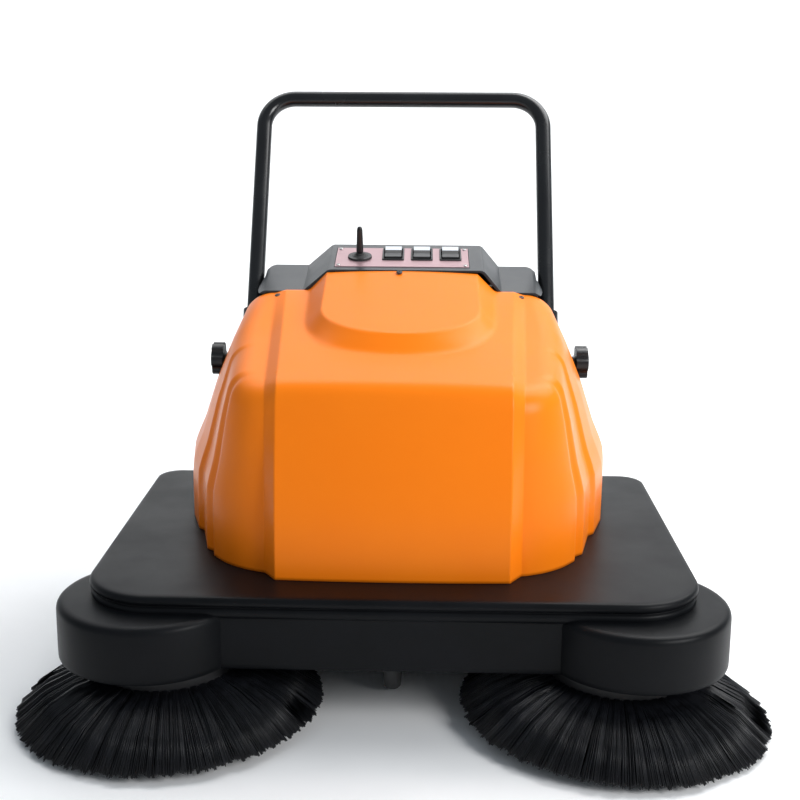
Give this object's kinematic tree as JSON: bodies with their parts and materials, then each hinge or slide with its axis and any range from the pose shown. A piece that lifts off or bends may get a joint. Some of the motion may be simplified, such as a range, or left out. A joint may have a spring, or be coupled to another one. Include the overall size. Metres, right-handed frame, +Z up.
{
  "type": "walk behind sweeper",
  "caption": "Walk behind floor sweeper with corner disc brushes, roller brush, dust bin, orange hood and telescopic handle.",
  "frame": {"origin": "on the ground under the middle of the machine's bounding box", "axes": "+Z up, +X to the machine's left as it drives, seen from the front as the right; the front with its disc brushes faces -Y and the handle leans back towards +Y"},
  "size_m": [0.9912, 0.8156, 0.8039],
  "materials": {
    "deck_plastic": "satin moulded",
    "frame_steel": "powder coat",
    "bright_steel": "zinc plated",
    "flap_rubber": "matt",
    "hood_plastic": "semi gloss, fine texture",
    "housing_plastic": "satin moulded",
    "panel_sheet": "satin with a warm tint",
    "black_plastic": "satin",
    "battery_case": "satin",
    "strap": "woven webbing",
    "motor_case": "satin",
    "handle_paint": "semi gloss powder coat",
    "filter_paper": "pleated",
    "bristle": "nylon filament",
    "pulley_alloy": "machined",
    "rim_plastic": "grey moulded",
    "tyre": "ribbed",
    "caster_rubber": "matt",
    "knob_plastic": "satin",
    "switch_plastic": "gloss, black lower half",
    "bin_plastic": "satin moulded"
  },
  "bodies": {
    "chassis": {"deck_cover": "deck_plastic", "left_brush_cover": "deck_plastic", "right_brush_cover": "deck_plastic", "left_rail": "frame_steel", "right_rail": "frame_steel", "front_plate": "frame_steel", "cross_members": "frame_steel", "tunnel_shroud": "frame_steel", "tunnel_plates": "frame_steel", "brush_bearings": "bright_steel", "rubber_flaps": "flap_rubber", "hood": "hood_plastic", "hood_screws": "bright_steel", "rear_housing": "housing_plastic", "console": "housing_plastic", "control_panel": "panel_sheet", "panel_screws": "bright_steel", "lever_bezel": "black_plastic", "charge_socket": "black_plastic", "battery_tray": "frame_steel", "battery": "battery_case", "battery_strap": "strap", "brush_motor": "motor_case", "drive_belt": "flap_rubber", "left_side_motor": "motor_case", "right_side_motor": "motor_case", "left_sleeve": "handle_paint", "right_sleeve": "handle_paint", "sleeve_plates": "frame_steel", "caster_plate": "bright_steel", "wheel_axles": "frame_steel", "bin_runners": "frame_steel", "panel_filter": "filter_paper", "suction_fan": "motor_case"},
    "main_brush": {"brush_core": "black_plastic", "brush_bristles": "bristle", "brush_pulley": "pulley_alloy"},
    "motor_drive": {"motor_pulley": "pulley_alloy"},
    "left_side_brush": {"left_brush_disc": "black_plastic", "left_bristles": "bristle"},
    "right_side_brush": {"right_brush_disc": "black_plastic", "right_bristles": "bristle"},
    "left_wheel": {"left_rim": "rim_plastic", "left_tyre": "tyre"},
    "right_wheel": {"right_rim": "rim_plastic", "right_tyre": "tyre"},
    "caster_swivel": {"caster_fork": "bright_steel", "caster_axle": "bright_steel"},
    "caster_wheel": {"caster_wheel": "caster_rubber"},
    "handle": {"handle_legs": "handle_paint", "handle_bends": "handle_paint", "handle_crossbar": "handle_paint"},
    "left_knob": {"left_knob": "knob_plastic"},
    "right_knob": {"right_knob": "knob_plastic"},
    "lift_lever": {"lift_lever": "black_plastic"},
    "left_switch": {"left_switch": "switch_plastic"},
    "middle_switch": {"middle_switch": "switch_plastic"},
    "right_switch": {"right_switch": "switch_plastic"},
    "dust_bin": {"dust_bin": "bin_plastic", "bin_handle": "black_plastic"}
  },
  "joints": [
    {"name": "main_brush_spin", "type": "hinge", "parent": "chassis", "child": "main_brush", "pos_m": [0, 0.05625, 0.098], "axis": [1, 0, 0], "continuous": true},
    {"name": "motor_spin", "type": "hinge", "parent": "chassis", "child": "motor_drive", "pos_m": [0, 0.05625, 0.285], "axis": [1, 0, 0], "continuous": true},
    {"name": "left_side_brush_spin", "type": "hinge", "parent": "chassis", "child": "left_side_brush", "pos_m": [-0.2935, -0.20575, 0.00805], "axis": [-0.0349, 0, 0.9994], "continuous": true},
    {"name": "left_wheel_spin", "type": "hinge", "parent": "chassis", "child": "left_wheel", "pos_m": [-0.335, 0.13925, 0.085], "axis": [1, 0, 0], "continuous": true},
    {"name": "left_knob_turn", "type": "hinge", "parent": "chassis", "child": "left_knob", "pos_m": [-0.266, 0.16925, 0.4], "axis": [-1, 0, 0], "range_deg": [0, 360]},
    {"name": "right_side_brush_spin", "type": "hinge", "parent": "chassis", "child": "right_side_brush", "pos_m": [0.2935, -0.20575, 0.00805], "axis": [0.0349, 0, 0.9994], "continuous": true},
    {"name": "right_wheel_spin", "type": "hinge", "parent": "chassis", "child": "right_wheel", "pos_m": [0.335, 0.13925, 0.085], "axis": [1, 0, 0], "continuous": true},
    {"name": "right_knob_turn", "type": "hinge", "parent": "chassis", "child": "right_knob", "pos_m": [0.266, 0.16925, 0.4], "axis": [1, 0, 0], "range_deg": [0, 360]},
    {"name": "caster_swivel", "type": "hinge", "parent": "chassis", "child": "caster_swivel", "pos_m": [0, -0.16075, 0.165], "axis": [0, 0, 1], "continuous": true},
    {"name": "caster_roll", "type": "hinge", "parent": "caster_swivel", "child": "caster_wheel", "pos_m": [0, -0.13075, 0.05], "axis": [1, 0, 0], "continuous": true},
    {"name": "handle_slide", "type": "slide", "parent": "chassis", "child": "handle", "axis": [0, 0.5, 0.866], "range_m": [0, 0.14]},
    {"name": "lever_tilt", "type": "hinge", "parent": "chassis", "child": "lift_lever", "pos_m": [-0.062, 0.19362, 0.54354], "axis": [1, 0, 0], "range_deg": [-12, 12]},
    {"name": "left_switch_rock", "type": "hinge", "parent": "chassis", "child": "left_switch", "pos_m": [-0.011, 0.20512, 0.55633], "axis": [1, 0, 0], "range_deg": [-6, 6]},
    {"name": "middle_switch_rock", "type": "hinge", "parent": "chassis", "child": "middle_switch", "pos_m": [0.033, 0.20512, 0.55633], "axis": [1, 0, 0], "range_deg": [-6, 6]},
    {"name": "right_switch_rock", "type": "hinge", "parent": "chassis", "child": "right_switch", "pos_m": [0.077, 0.20512, 0.55633], "axis": [1, 0, 0], "range_deg": [-6, 6]},
    {"name": "dust_bin_slide", "type": "slide", "parent": "chassis", "child": "dust_bin", "axis": [0, 1, 0], "range_m": [0, 0.11]}
  ],
  "couplings": [
    {"joint": "motor_spin", "follows": "main_brush_spin", "ratio": 2}
  ]
}
